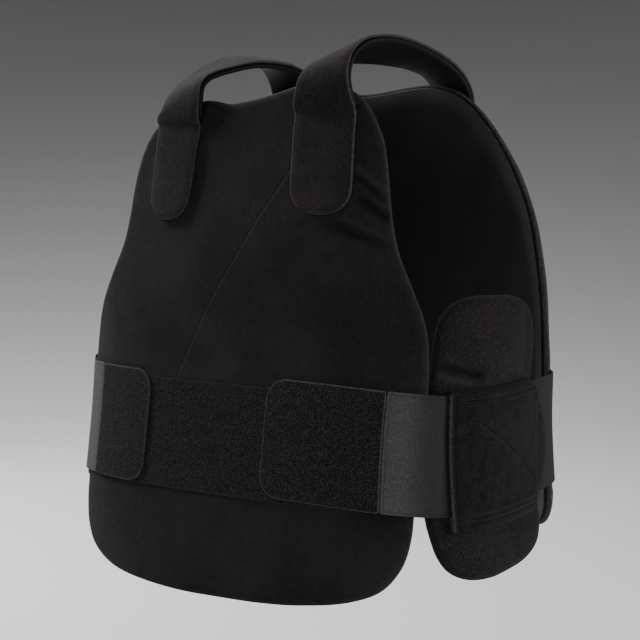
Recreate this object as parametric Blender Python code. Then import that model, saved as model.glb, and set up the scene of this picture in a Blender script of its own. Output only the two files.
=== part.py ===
"""Concealable bulletproof vest held up on its shoulder straps, as if worn.

Every piece starts as a flat pattern: across is the distance round the body from the front
centre, height is above the vest's lowest edge, out is the distance outside the body.
The flat piece is cut along shared lines and then wrapped round the body.
The front faces -Y, the wearer's left side is +X, and the origin lies under the strap tops.
"""
from collections import namedtuple
import bmesh
import bpy
import numpy as np

for old in list(bpy.data.objects):
    bpy.data.objects.remove(old, do_unlink=True)

# Body form, one row per level above the lowest edge, metres
Section = namedtuple("Section", "height half_width front back")
BODY = [Section(-0.020, 0.2132, -0.1431, 0.1528),
        Section(0.050, 0.2130, -0.1370, 0.1449),
        Section(0.095, 0.2096, -0.1324, 0.1391),
        Section(0.145, 0.2077, -0.1253, 0.1321),
        Section(0.190, 0.2090, -0.1182, 0.1259),
        Section(0.240, 0.2087, -0.1103, 0.1184),
        Section(0.300, 0.2030, -0.1005, 0.1096),
        Section(0.400, 0.1940, -0.0838, 0.0897),
        Section(0.440, 0.1912, -0.0765, 0.0805)]
squareness = 2.92
# The section that distances across are measured on, at the level of the waist straps
MEASURE = Section(0.135, 0.2099, -0.1269, 0.1338)
shoulder_height = 0.465
gap = 0.0003

# Panel outlines, from the bottom centre up to the neck, one for each half where they differ
Edge = namedtuple("Edge", "across height")
FRONT_LEFT_EDGE = [Edge(0.0000, -0.0006), Edge(0.0400, 0.0004), Edge(0.0810, 0.0037),
                   Edge(0.1250, 0.0118), Edge(0.1455, 0.0214), Edge(0.1590, 0.0390),
                   Edge(0.1658, 0.0611), Edge(0.1692, 0.0960), Edge(0.1722, 0.1470),
                   Edge(0.1735, 0.1900), Edge(0.1722, 0.2150), Edge(0.1680, 0.2380),
                   Edge(0.1590, 0.2620), Edge(0.1455, 0.2953), Edge(0.1395, 0.3200),
                   Edge(0.1357, 0.3480), Edge(0.1325, 0.3723), Edge(0.1288, 0.3884),
                   Edge(0.1232, 0.4005), Edge(0.1170, 0.4115), Edge(0.1085, 0.4210),
                   Edge(0.0960, 0.4290), Edge(0.0740, 0.4342), Edge(0.0520, 0.4350),
                   Edge(0.0370, 0.4330), Edge(0.0220, 0.4292), Edge(0.0000, 0.4240)]
FRONT_RIGHT_EDGE = [Edge(0.0000, -0.0006), Edge(0.0400, -0.0008), Edge(0.0810, 0.0018),
                    Edge(0.1058, 0.0048), Edge(0.1250, 0.0092), Edge(0.1392, 0.0150),
                    Edge(0.1518, 0.0232), Edge(0.1626, 0.0376), Edge(0.1696, 0.0600),
                    Edge(0.1728, 0.0960), Edge(0.1755, 0.1470), Edge(0.1768, 0.2000),
                    Edge(0.1730, 0.2337), Edge(0.1612, 0.2651), Edge(0.1485, 0.2953),
                    Edge(0.1448, 0.3180), Edge(0.1434, 0.3450), Edge(0.1410, 0.3620),
                    Edge(0.1355, 0.3800), Edge(0.1280, 0.3930), Edge(0.1165, 0.4040),
                    Edge(0.1000, 0.4125), Edge(0.0800, 0.4190), Edge(0.0640, 0.4222),
                    Edge(0.0520, 0.4215), Edge(0.0354, 0.4190), Edge(0.0192, 0.4208),
                    Edge(0.0000, 0.4240)]
BACK_EDGE = [Edge(0.0000, 0.0300), Edge(0.0400, 0.0300), Edge(0.0850, 0.0303),
             Edge(0.1204, 0.0308), Edge(0.1540, 0.0325), Edge(0.1830, 0.0395),
             Edge(0.2010, 0.0570), Edge(0.2115, 0.0850), Edge(0.2155, 0.1250),
             Edge(0.2160, 0.1600), Edge(0.2135, 0.2000), Edge(0.2120, 0.2400),
             Edge(0.2112, 0.2811), Edge(0.2020, 0.3218), Edge(0.1850, 0.3535),
             Edge(0.1662, 0.3830), Edge(0.1498, 0.4040), Edge(0.1325, 0.4215),
             Edge(0.1105, 0.4352), Edge(0.0818, 0.4410), Edge(0.0528, 0.4394),
             Edge(0.0258, 0.4358), Edge(0.0000, 0.4338)]
outline_steps = 29
front_fullness = 0.0018
back_fullness = 0.0026
lining_inset = 0.0055
lining_out = 0.0015
carrier_in = lining_out + gap
carrier_out = 0.0113
edge_round = 0.0085
rim_share = 0.3

# Loop band sewn across the front panel
loop_half = 0.1620
loop_bottom = 0.0858
loop_top = 0.1805
loop_thick = 0.0011

# Waist strap on each side: hook tab, wide elastic, cloth sleeve and side pad
waist_bottom = 0.0867
waist_top = 0.1862
tab_thick = 0.0022
elastic_thick = 0.0018
elastic_end = 0.4550
front_ride = carrier_out + gap + loop_thick + gap
back_ride = carrier_out + gap
Ride = namedtuple("Ride", "across out drop")
LEFT_RIDE = [Ride(0.000, front_ride, 0.0040), Ride(0.055, front_ride, 0.0028),
             Ride(0.100, front_ride, 0.0012), Ride(0.144, front_ride, -0.0018),
             Ride(0.175, front_ride, -0.0040), Ride(0.185, 0.0114, -0.0049),
             Ride(0.195, 0.0093, -0.0053), Ride(0.205, 0.0084, -0.0050),
             Ride(0.250, 0.0084, -0.0025), Ride(0.300, 0.0084, -0.0005),
             Ride(0.325, 0.0090, 0.0000), Ride(0.350, 0.0110, 0.0000),
             Ride(0.360, back_ride, 0.0000), Ride(0.600, back_ride, 0.0000)]
RIGHT_RIDE = [Ride(0.000, front_ride, 0.0000), Ride(0.165, front_ride, 0.0000),
              Ride(0.175, 0.0108, 0.0000), Ride(0.185, 0.0060, 0.0000),
              Ride(0.195, 0.0024, 0.0000), Ride(0.205, 0.0006, 0.0000),
              Ride(0.225, -0.0015, 0.0000),
              Ride(0.250, -0.0030, 0.0000), Ride(0.300, -0.0030, 0.0000),
              Ride(0.330, 0.0000, 0.0000), Ride(0.347, 0.0070, 0.0000),
              Ride(0.359, back_ride, 0.0000), Ride(0.600, back_ride, 0.0000)]
PAD_EDGE = [Edge(0.2300, 0.0260), Edge(0.2570, 0.0278), Edge(0.2890, 0.0322),
            Edge(0.3080, 0.0430), Edge(0.3145, 0.0600), Edge(0.3098, 0.0900),
            Edge(0.3000, 0.1423), Edge(0.3000, 0.2000), Edge(0.3000, 0.2330),
            Edge(0.2947, 0.2477), Edge(0.2800, 0.2550), Edge(0.2650, 0.2582),
            Edge(0.2350, 0.2600), Edge(0.2096, 0.2585), Edge(0.1950, 0.2520),
            Edge(0.1860, 0.2410), Edge(0.1823, 0.2250), Edge(0.1820, 0.1500),
            Edge(0.1822, 0.0805), Edge(0.1845, 0.0633), Edge(0.1892, 0.0482),
            Edge(0.1979, 0.0361), Edge(0.2120, 0.0285)]
pad_fullness = 0.0015
pad_steps = 30
pad_thick = 0.0092
pad_round = 0.0040
sleeve_wall = 0.0008
sleeve_from = 0.1935
sleeve_to = 0.2850
sleeve_bulge = 0.0360
sleeve_bottom = 0.0740
sleeve_top = 0.1890
sleeve_levels = 6

tab_corner = 0.0180

# Shoulder strap: underside of its two edges over the shoulder, front to back
Arch = namedtuple("Arch", "inner_x inner_y inner_height outer_x outer_y outer_height")
LEFT_ARCH = [Arch(0.0445, -0.0957, 0.4300, 0.0980, -0.0935, 0.4290),
             Arch(0.0470, -0.0940, 0.4385, 0.0985, -0.0977, 0.4415),
             Arch(0.0500, -0.0860, 0.4455, 0.1000, -0.0950, 0.4550),
             Arch(0.0530, -0.0660, 0.4515, 0.1040, -0.0830, 0.4672),
             Arch(0.0560, -0.0400, 0.4550, 0.1075, -0.0560, 0.4728),
             Arch(0.0595, -0.0050, 0.4570, 0.1100, -0.0200, 0.4720),
             Arch(0.0625, 0.0300, 0.4570, 0.1125, 0.0150, 0.4660),
             Arch(0.0655, 0.0620, 0.4548, 0.1130, 0.0493, 0.4574),
             Arch(0.0670, 0.0850, 0.4490, 0.1130, 0.0735, 0.4470),
             Arch(0.0675, 0.0960, 0.4385, 0.1125, 0.0890, 0.4350)]
RIGHT_ARCH = [Arch(0.0535, -0.0965, 0.4240, 0.1003, -0.0892, 0.4130),
              Arch(0.0535, -0.0945, 0.4340, 0.1005, -0.0825, 0.4215),
              Arch(0.0537, -0.0865, 0.4410, 0.1012, -0.0695, 0.4315),
              Arch(0.0542, -0.0700, 0.4462, 0.1022, -0.0505, 0.4415),
              Arch(0.0550, -0.0480, 0.4504, 0.1033, -0.0280, 0.4524),
              Arch(0.0558, -0.0250, 0.4546, 0.1044, -0.0050, 0.4596),
              Arch(0.0568, -0.0030, 0.4571, 0.1053, 0.0170, 0.4638),
              Arch(0.0582, 0.0280, 0.4578, 0.1062, 0.0400, 0.4660),
              Arch(0.0592, 0.0565, 0.4563, 0.1071, 0.0600, 0.4642),
              Arch(0.0596, 0.0825, 0.4500, 0.1081, 0.0780, 0.4565),
              Arch(0.0600, 0.0975, 0.4385, 0.1090, 0.0910, 0.4400)]
arch_steps = 16
strap_thick = 0.0035
strap_lining_thick = 0.0045
hook_thick = 0.0012
strap_corner = 0.0210
strap_back_half = 0.0265
strap_on_back = 0.4260
strap_tail = (0.4120, 0.3900, 0.3700, 0.3560)
strap_lanes = 5
strap_stations = 0.0210
end_turns = (12, 25, 45, 65, 90)
slope_step = 0.05

# Each side of the wearer
Side = namedtuple("Side", "name sign ride pad_out tab_from tab_to arch "
                          "strap_end off_patch off_panel top_centre top_half tip_centre tip_half "
                          "back_centre")
SIDES = [Side("left", 1, LEFT_RIDE, 0.0070, 0.0400, 0.1440, LEFT_ARCH,
              0.3265, 0.4130, 0.4175, 0.0750, 0.0311, 0.0762, 0.0300, 0.0970),
         Side("right", -1, RIGHT_RIDE, -0.0045, 0.0845, 0.1485, RIGHT_ARCH,
              0.3185, 0.4020, 0.4065, 0.0874, 0.0262, 0.0874, 0.0228, 0.0905)]

# Shared cutting lines, so that stacked pieces keep facets that lie parallel
ACROSS_CUTS = [0.0, 0.030, 0.060, 0.085, 0.105, 0.120, 0.132, 0.144, 0.155, 0.165, 0.175,
               0.185, 0.195, 0.205, 0.216, 0.228, 0.242, 0.258, 0.275, 0.292, 0.309, 0.325,
               0.340, 0.352, 0.363, 0.374, 0.387, 0.401, 0.416, 0.432, 0.448, 0.466,
               0.487, 0.510, 0.533, 0.555]
HEIGHT_CUTS = [0.050, 0.095, 0.140, 0.180, 0.235, 0.285, 0.340, 0.390]
cut_snap = 0.0006
section_samples = 4001


def smooth(rows, column, at, by):
    """A smooth curve through one column of a table, taken at positions along another."""
    s = np.array([getattr(r, by) for r in rows])
    v = np.array([getattr(r, column) for r in rows])
    slope = np.diff(v) / np.diff(s)
    tangent = np.r_[slope[0], (slope[:-1] + slope[1:]) / 2, slope[-1]]
    at = np.asarray(at, float)
    k = np.clip(np.searchsorted(s, at) - 1, 0, len(s) - 2)
    h = s[k + 1] - s[k]
    t = np.clip((at - s[k]) / h, -0.5, 1.5)
    rise = v[k + 1] - v[k]
    bend = tangent[k] * h + tangent[k + 1] * h - 2 * rise
    lift = 3 * rise - 2 * tangent[k] * h - tangent[k + 1] * h
    return v[k] + tangent[k] * h * t + lift * t ** 2 + bend * t ** 3


def straight(rows, column, at):
    """Straight runs between the rows of a strap table."""
    return np.interp(at, [r.across for r in rows], [getattr(r, column) for r in rows])


def rounded_square(angle, half, front, back):
    """Point and outward direction on a rounded square that spans half, front and back."""
    middle = (front + back) / 2
    depth = (back - front) / 2
    power = 2 / squareness
    sine = np.sin(angle)
    cosine = np.cos(angle)
    x = half * np.sign(sine) * np.abs(sine) ** power
    y = middle - depth * np.sign(cosine) * np.abs(cosine) ** power
    nx = np.sign(sine) * np.abs(sine) ** (2 - power) / half
    ny = -np.sign(cosine) * np.abs(cosine) ** (2 - power) / depth
    length = np.hypot(nx, ny)
    return x, y, nx / length, ny / length


def section_point(angle, height):
    """Point and outward direction on the body section at a level."""
    spans = [smooth(BODY, column, height, "height") for column in ("half_width", "front", "back")]
    return rounded_square(angle, *spans)


angle_table = np.linspace(0, np.pi, section_samples)
table_x, table_y, _, _ = rounded_square(angle_table, *MEASURE[1:])
across_table = np.r_[0, np.cumsum(np.hypot(np.diff(table_x), np.diff(table_y)))]
half_round = across_table[-1]


def wrap(across, height, out, back=False):
    """Flat pattern positions to points in space; back counts across from the back centre."""
    distance = half_round - np.abs(across) if back else np.abs(across)
    angle = np.interp(distance, across_table, angle_table)
    x, y, nx, ny = section_point(angle, height)
    side = np.where(np.asarray(across) < 0, -1.0, 1.0)
    return np.stack([side * (x + out * nx), y + out * ny, height - shoulder_height + 0 * x], -1)


def material(name, colour, roughness):
    """A plain Principled material for one sub-part."""
    mat = bpy.data.materials.new(name)
    mat.use_nodes = True
    shader = mat.node_tree.nodes["Principled BSDF"]
    shader.inputs["Base Color"].default_value = (*colour, 1)
    shader.inputs["Roughness"].default_value = roughness
    shader.inputs["Metallic"].default_value = 0.0
    return mat


def add_object(name, bm, colour, roughness):
    """Turns a finished mesh into the named object with its own material."""
    bmesh.ops.recalc_face_normals(bm, faces=bm.faces)
    if bm.calc_volume(signed=True) < 0:
        bmesh.ops.reverse_faces(bm, faces=bm.faces)
    for face in bm.faces:
        face.smooth = True
    mesh = bpy.data.meshes.new(name)
    bm.to_mesh(mesh)
    bm.free()
    mesh.materials.append(material(name, colour, roughness))
    obj = bpy.data.objects.new(name, mesh)
    bpy.context.scene.collection.objects.link(obj)
    return obj


def cut_and_wrap(bm, across_cuts, height_cuts, ride, sign, back):
    """Cuts the flat mesh along the shared lines, then wraps every corner round the body."""
    planes = [((c, 0, 0), (1, 0, 0)) for c in across_cuts]
    planes += [((0, c, 0), (0, 1, 0)) for c in height_cuts]
    for point, normal in planes:
        everything = bm.verts[:] + bm.edges[:] + bm.faces[:]
        bmesh.ops.bisect_plane(bm, geom=everything, dist=cut_snap, plane_co=point, plane_no=normal)
    flat = np.array([v.co for v in bm.verts])
    across, height, out = flat.T
    if ride:
        out = out + straight(ride, "out", across)
        height = height + straight(ride, "drop", across)
    placed = wrap(sign * across, height, out, back)
    for vert, co in zip(bm.verts, placed):
        vert.co = co
    bmesh.ops.triangulate(bm, faces=bm.faces)


def inset(outline, amount):
    """Moves a closed outline inwards, counter-clockwise outlines only."""
    run = np.roll(outline, -1, 0) - np.roll(outline, 1, 0)
    inward = np.stack([-run[:, 1], run[:, 0]], -1)
    return outline + amount * inward / np.linalg.norm(inward, axis=1)[:, None]


def flat_body(outline, profile):
    """A flat closed body: one ring per profile row of inset and out, and two flat faces."""
    bm = bmesh.new()
    rings = []
    for amount, out in profile:
        ring = inset(outline, amount)
        rings.append([bm.verts.new((a, h, out)) for a, h in ring])
    for low, high in zip(rings, rings[1:]):
        for i in range(len(low)):
            j = (i + 1) % len(low)
            bm.faces.new((low[i], low[j], high[j], high[i]))
    bm.faces.new(rings[0][::-1])
    bm.faces.new(rings[-1])
    return bm


def piece(name, outline, profile, colour, roughness, ride=None, sign=1, back=False):
    """Builds one flat pattern piece and wraps it round the body."""
    low = outline[:, 0].min()
    high = outline[:, 0].max()
    marks = [s * c for c in ACROSS_CUTS for s in ((1, -1) if c else (1,))]
    if back:
        marks = [s * (half_round - c) for c in ACROSS_CUTS for s in (1, -1)] + [0.0]
    across_cuts = [c for c in sorted(marks) if low + cut_snap < c < high - cut_snap]
    bm = flat_body(outline, profile)
    cut_and_wrap(bm, across_cuts, HEIGHT_CUTS, ride, sign, back)
    return add_object(name, bm, colour, roughness)


def even_outline(points, steps):
    """Resamples a closed run of points evenly along a smooth curve through them."""
    loop = np.vstack([points, points[:1]])
    length = np.r_[0, np.cumsum(np.hypot(*np.diff(loop, axis=0).T))]
    Knot = namedtuple("Knot", "s a h")
    wide = [Knot(s, a, h) for s, (a, h) in zip(length, loop)]
    before = [Knot(k.s - length[-1], k.a, k.h) for k in wide[-3:-1]]
    after = [Knot(k.s + length[-1], k.a, k.h) for k in wide[1:3]]
    at = np.linspace(0, length[-1], steps, endpoint=False)
    knots = before + wide + after
    return np.stack([smooth(knots, "a", at, "s"), smooth(knots, "h", at, "s")], -1)


def panel_outline(left_rows, right_rows):
    """Whole panel outline from its two halves, counter-clockwise from the bottom centre."""
    left = [(r.across, r.height) for r in left_rows]
    right = [(-r.across, r.height) for r in right_rows]
    return even_outline(np.array(left + right[-2:0:-1]), 2 * outline_steps)


def box_outline(low, high, bottom, top, low_corner, high_corner, turns=4):
    """Rectangle with a rounding at each end, counter-clockwise."""
    points = []
    for a, h, corner, start in ((high, bottom, high_corner, -90), (high, top, high_corner, 0),
                                (low, top, low_corner, 90), (low, bottom, low_corner, 180)):
        ca = a - np.sign(a - (low + high) / 2) * corner
        ch = h - np.sign(h - (bottom + top) / 2) * corner
        for step in range(turns + 1 if corner else 1):
            turn = np.radians(start + 90 * step / turns)
            points.append((ca + corner * np.cos(turn), ch + corner * np.sin(turn)))
    return np.array(points)


def rounded_profile(low, high, rounding):
    """Rim of a padded piece: a small rounding on both faces."""
    step = (high - low) * rim_share
    return [(rounding, low), (0.0, low + step), (0.0, high - step), (rounding, high)]


def panels():
    """Front and back carriers with their linings, and the loop band on the front."""
    for label, left, right, full, back in (
            ("front", FRONT_LEFT_EDGE, FRONT_RIGHT_EDGE, front_fullness, False),
            ("back", BACK_EDGE, BACK_EDGE, back_fullness, True)):
        outline = inset(panel_outline(left, right), -full)
        piece(label + "_carrier", outline, rounded_profile(carrier_in, carrier_out, edge_round),
              (0.012, 0.012, 0.013), 0.95, back=back)
        piece(label + "_lining", inset(outline, lining_inset), [(0, 0), (0, lining_out)],
              (0.006, 0.006, 0.007), 0.55, back=back)
    low = carrier_out + gap
    band = box_outline(-loop_half, loop_half, loop_bottom, loop_top, 0, 0)
    piece("front_loop_band", band, [(0, low), (0, low + loop_thick)], (0.018, 0.018, 0.018), 0.98)


def waist(side):
    """Hook tab, elastic and side pad of one side."""
    tab = box_outline(side.tab_from, side.tab_to, waist_bottom, waist_top, tab_corner, 0)
    piece("waist_tab_" + side.name, tab, [(0, 0), (0, tab_thick)], (0.020, 0.020, 0.020), 0.95,
          side.ride, side.sign)
    elastic = box_outline(side.tab_to + gap, elastic_end, waist_bottom, waist_top, 0, 0)
    piece("waist_elastic_" + side.name, elastic, [(0, 0), (0, elastic_thick)],
          (0.045, 0.046, 0.046), 0.7, side.ride, side.sign)
    corners = np.array([(r.across, r.height) for r in PAD_EDGE])
    pad = inset(even_outline(corners, pad_steps), -pad_fullness)
    profile = rounded_profile(side.pad_out - pad_thick, side.pad_out, pad_round)
    piece("side_pad_" + side.name, pad, profile, (0.014, 0.014, 0.015), 0.95, None, side.sign)


def sleeve(side):
    """Cloth tunnel on the side pad: the elastic runs through it, its rear edge bows out."""
    inner_low = -gap
    inner_high = elastic_thick + gap
    wall = sleeve_wall
    levels = np.linspace(sleeve_bottom + wall, sleeve_top - wall, sleeve_levels)
    loops = []
    for grow in (wall, 0.0):
        up = [(h, inner_high + grow) for h in levels]
        up[0] = (levels[0] - grow, inner_high + grow)
        up[-1] = (levels[-1] + grow, inner_high + grow)
        down = [(h, inner_low - grow) for h, _ in up[::-1]]
        loops.append(up + down)
    middle = (sleeve_bottom + sleeve_top) / 2
    half = (sleeve_top - sleeve_bottom) / 2
    bm = bmesh.new()
    rings = []
    for loop in loops:
        start = [bm.verts.new((sleeve_from, h, out)) for h, out in loop]
        bow = [sleeve_bulge * (1 - ((h - middle) / half) ** 2) for h, _ in loop]
        end = [bm.verts.new((sleeve_to + b, h, out)) for b, (h, out) in zip(bow, loop)]
        rings.append((start, end))
    count = len(loops[0])
    for i in range(count):
        j = (i + 1) % count
        for start, end in rings:
            bm.faces.new((start[i], start[j], end[j], end[i]))
        for k in (0, 1):
            bm.faces.new((rings[0][k][i], rings[0][k][j], rings[1][k][j], rings[1][k][i]))
    cuts = [c for c in ACROSS_CUTS if sleeve_from < c < sleeve_to + sleeve_bulge]
    cut_and_wrap(bm, cuts, HEIGHT_CUTS, side.ride, side.sign, False)
    add_object("side_sleeve_" + side.name, bm, (0.020, 0.020, 0.022), 0.9)


def strip(name, under, over, colour, roughness):
    """A closed strip from its underside and top side, stations by lanes."""
    bm = bmesh.new()
    low = [[bm.verts.new(p) for p in row] for row in under]
    high = [[bm.verts.new(p) for p in row] for row in over]
    loops = [a + b[::-1] for a, b in zip(low, high)]
    count = len(loops[0])
    for one, two in zip(loops, loops[1:]):
        for i in range(count):
            j = (i + 1) % count
            bm.faces.new((one[i], one[j], two[j], two[i]))
    for k in (0, -1):
        for i in range(len(low[k]) - 1):
            bm.faces.new((low[k][i], low[k][i + 1], high[k][i + 1], high[k][i]))
    bmesh.ops.triangulate(bm, faces=bm.faces)
    return add_object(name, bm, colour, roughness)


lanes = np.linspace(-1, 1, strap_lanes)


def on_panel(side, centre, half, height, out, back=False):
    """One station of a strap lying on a panel."""
    across = side.sign * (centre + lanes * half)
    return wrap(across, np.full(strap_lanes, height), out, back)


def round_end(end, half, length):
    """Levels and half-width shares of a strap end with rounded corners."""
    turn = np.radians(end_turns)
    near = strap_corner * (1 - np.cos(turn - turn[0]))
    share = 1 - strap_corner / half * (1 - np.sin(turn))
    near[-1] = strap_corner
    more = np.arange(strap_corner + strap_stations, length, strap_stations)
    return list(zip(end + near, share)) + [(end + m, 1.0) for m in more]


def arch_station(side, at, rise):
    """One station over the shoulder, lifted from the underside by rise."""
    Row = namedtuple("Row", Arch._fields + ("k",))
    numbered = [Row(*r, k) for k, r in enumerate(side.arch)]

    def place(position):
        p = [smooth(numbered, c, position, "k") for c in Arch._fields]
        return np.array(p[:3]), np.array(p[3:])
    inner, outer = place(at)
    ahead = sum(place(at + slope_step)) - sum(place(at - slope_step))
    up = np.cross(outer - inner, ahead)
    up = up / np.linalg.norm(up)
    share = (lanes[:, None] + 1) / 2
    line = inner + share * (outer - inner) + rise * up
    line[:, 2] -= shoulder_height
    line[:, 0] *= side.sign
    return line


def front_run(side, out):
    """Stations of the strap end hooked on the front panel."""
    rows = round_end(side.strap_end, side.tip_half, side.off_patch - side.strap_end)
    stations = []
    for height, share in rows:
        up = (height - side.strap_end) / (side.off_patch - side.strap_end)
        centre = side.tip_centre + up * (side.top_centre - side.tip_centre)
        half = side.tip_half + up * (side.top_half - side.tip_half)
        stations.append(on_panel(side, centre, half * share, height, out))
    return stations


def over_run(side, out, rise):
    """Stations from the top of the front panel over the shoulder to the top of the back."""
    steps = np.linspace(0, len(side.arch) - 1, arch_steps)
    first = on_panel(side, side.top_centre, side.top_half, side.off_panel, out)
    last = on_panel(side, side.back_centre, strap_back_half, strap_on_back, out, True)
    return [first] + [arch_station(side, s, rise) for s in steps] + [last]


def shoulder(side):
    """Padded strap over the shoulder, its lining and the hook patch on the front panel."""
    seat = carrier_out + gap
    lining = [over_run(side, seat + rise, rise) for rise in (0.0, strap_lining_thick)]
    strip("shoulder_lining_" + side.name, *lining, (0.016, 0.016, 0.017), 0.9)

    over = strap_lining_thick + gap
    strap = []
    for extra in (0.0, strap_thick):
        tail = [on_panel(side, side.back_centre, strap_back_half, h, seat + extra, True)
                for h in strap_tail]
        front = front_run(side, seat + hook_thick + gap + extra)
        strap.append(front + over_run(side, seat + over + extra, over + extra) + tail)
    strip("shoulder_strap_" + side.name, *strap, (0.014, 0.013, 0.014), 0.95)

    patch = [front_run(side, seat + extra) for extra in (0.0, hook_thick)]
    strip("shoulder_hook_" + side.name, *patch, (0.10, 0.10, 0.10), 0.6)


panels()
for wearer_side in SIDES:
    waist(wearer_side)
    sleeve(wearer_side)
    shoulder(wearer_side)
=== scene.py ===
# %% [markdown]
# # A soft armour vest held up on its shoulder straps
#
# The real thing is two padded panels, a front and a back, joined over the shoulders by
# padded straps and round the waist by wide elastics that hook onto a band of loop tape.
# Every piece starts as a flat pattern, as a tailor would cut it, and is wrapped round a body.
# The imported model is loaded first, because it says where each piece lies.

import bmesh
import bpy
import numpy as np
from mathutils import Matrix, Vector


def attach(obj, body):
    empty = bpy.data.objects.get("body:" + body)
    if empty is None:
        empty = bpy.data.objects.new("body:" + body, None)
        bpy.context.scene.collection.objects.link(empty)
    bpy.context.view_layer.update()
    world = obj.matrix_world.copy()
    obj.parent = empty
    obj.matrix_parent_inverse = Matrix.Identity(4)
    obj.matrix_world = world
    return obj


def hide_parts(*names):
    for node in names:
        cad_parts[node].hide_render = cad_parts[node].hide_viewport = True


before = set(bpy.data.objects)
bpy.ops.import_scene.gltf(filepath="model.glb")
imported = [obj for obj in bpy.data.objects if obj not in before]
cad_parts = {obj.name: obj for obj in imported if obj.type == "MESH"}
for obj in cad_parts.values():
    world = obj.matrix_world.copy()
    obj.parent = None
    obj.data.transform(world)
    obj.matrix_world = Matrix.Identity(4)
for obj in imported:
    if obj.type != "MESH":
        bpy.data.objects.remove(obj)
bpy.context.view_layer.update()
print("solids loaded:", len(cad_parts))

# %% [markdown]
# ## The camera
#
# The photograph was taken from the wearer's left front, a little above the middle of the vest.
# A camera could be placed by eye, but a place, an aim point and a lens worked out from the
# outlines give the same picture each time, so they are written here as numbers.

# %% Place the camera
CAMERA_AT = Vector((0.780, -1.237, -0.101))
CAMERA_AIM = Vector((0.0083, 0.0, -0.2389))
CAMERA_ROLL = np.radians(0.571)
CAMERA_LENS = 89.3
CAMERA_SENSOR = 36


def add_camera():
    """Camera axes: backwards runs from the aim to the camera, the roll turns right and up."""
    data = bpy.data.cameras.new("camera")
    data.lens = CAMERA_LENS
    data.sensor_width = CAMERA_SENSOR
    obj = bpy.data.objects.new("camera", data)
    bpy.context.scene.collection.objects.link(obj)
    back = (CAMERA_AT - CAMERA_AIM).normalized()
    level = Vector((0, 0, 1)).cross(back).normalized()
    upright = back.cross(level)
    right = level * np.cos(CAMERA_ROLL) + upright * np.sin(CAMERA_ROLL)
    up = upright * np.cos(CAMERA_ROLL) - level * np.sin(CAMERA_ROLL)
    turn = Matrix((right, up, back)).transposed().to_4x4()
    obj.matrix_world = Matrix.Translation(CAMERA_AT) @ turn
    bpy.context.scene.camera = obj


add_camera()
print("camera stands", round((CAMERA_AT - CAMERA_AIM).length, 3), "m from its aim")

# %% [markdown]
# ## The body that the patterns are wrapped round
#
# A torso could be sculpted, but a few level sections are enough, because cloth only follows
# its broad form. Each row gives a height above the lowest edge, a half width, and how far the
# front and back lie from the middle. A section is a rounded square: a power of sine and cosine.
# Distances across are measured on one section, so a pattern keeps its size at every height.

# %% Body sections and the wrap
def mm(*rows):
    """A table written in millimetres, in metres, rounded to what the same metres would be."""
    return np.round(np.array(rows) / 1000, 7)


BODY = mm((-20, 213.2, -143.1, 152.8), (50, 213, -137, 144.9), (95, 209.6, -132.4, 139.1),
          (145, 207.7, -125.3, 132.1), (190, 209, -118.2, 125.9), (240, 208.7, -110.3, 118.4),
          (300, 203, -100.5, 109.6), (400, 194, -83.8, 89.7), (440, 191.2, -76.5, 80.5))
MEASURE = (0.2099, -0.1269, 0.1338)
SQUARENESS = 2.92
SHOULDER_HEIGHT = 0.465


def cubic(knots, values, tangent, at, past=0.0):
    """Cubic through the knots with these slopes, followed past its ends by a share of a step."""
    k = np.clip(np.searchsorted(knots, at) - 1, 0, len(knots) - 2)
    h = knots[k + 1] - knots[k]
    t = np.clip((at - knots[k]) / h, -past, 1 + past)
    rise = values[k + 1] - values[k]
    bend = (tangent[k] + tangent[k + 1]) * h - 2 * rise
    lift = 3 * rise - (2 * tangent[k] + tangent[k + 1]) * h
    return values[k] + tangent[k] * h * t + lift * t ** 2 + bend * t ** 3


def smooth(knots, values, at):
    """Cubic through the knots: each knot's slope is the mean of the slopes beside it."""
    knots, values, at = (np.asarray(x, float) for x in (knots, values, at))
    slope = np.diff(values) / np.diff(knots)
    return cubic(knots, values, np.r_[slope[0], (slope[:-1] + slope[1:]) / 2, slope[-1]], at, 0.5)


def steady(knots, values, at):
    """Cubic through the knots that never overshoots: slopes are harmonic means."""
    slope = np.diff(values) / np.diff(knots)
    one, two = slope[:-1], slope[1:]
    same = one * two > 0
    mean = np.where(same, 2 * one * two / np.where(same, one + two, 1), 0)
    return cubic(knots, values, np.r_[slope[0], mean, slope[-1]], at)


def distances(points):
    """How far along a run of points each one lies."""
    return np.r_[0, np.cumsum(np.hypot(*np.diff(points, axis=0).T))]


def rounded_square(angle, half, front, back):
    """x = half |sin|^p, y = middle - depth |cos|^p with p = 2 / squareness, and the normal."""
    middle, depth = (front + back) / 2, (back - front) / 2
    power = 2 / SQUARENESS
    sine, cosine = np.sin(angle), np.cos(angle)
    x = half * np.sign(sine) * np.abs(sine) ** power
    y = middle - depth * np.sign(cosine) * np.abs(cosine) ** power
    nx = np.sign(sine) * np.abs(sine) ** (2 - power) / half
    ny = -np.sign(cosine) * np.abs(cosine) ** (2 - power) / depth
    length = np.hypot(nx, ny)
    return x, y, nx / length, ny / length


def section_point(angle, height):
    """The rounded square whose half width, front and back are read off the table."""
    return rounded_square(angle, *(smooth(BODY[:, 0], BODY[:, c], height) for c in (1, 2, 3)))


ANGLES = np.linspace(0, np.pi, 4001)
ROUND = distances(np.stack(rounded_square(ANGLES, *MEASURE)[:2], -1))
HALF_ROUND = ROUND[-1]


def wrap(across, height, out, back=False):
    """Pattern to space: the distance across gives an angle on the section at that height,
    and out moves the point along the section's normal."""
    across, height, out = np.broadcast_arrays(across, height, out)
    distance = HALF_ROUND - np.abs(across) if back else np.abs(across)
    x, y, nx, ny = section_point(np.interp(distance, ROUND, ANGLES), height)
    side = np.where(across < 0, -1.0, 1.0)
    return np.stack([side * (x + out * nx), y + out * ny, height - SHOULDER_HEIGHT], -1)


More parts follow.
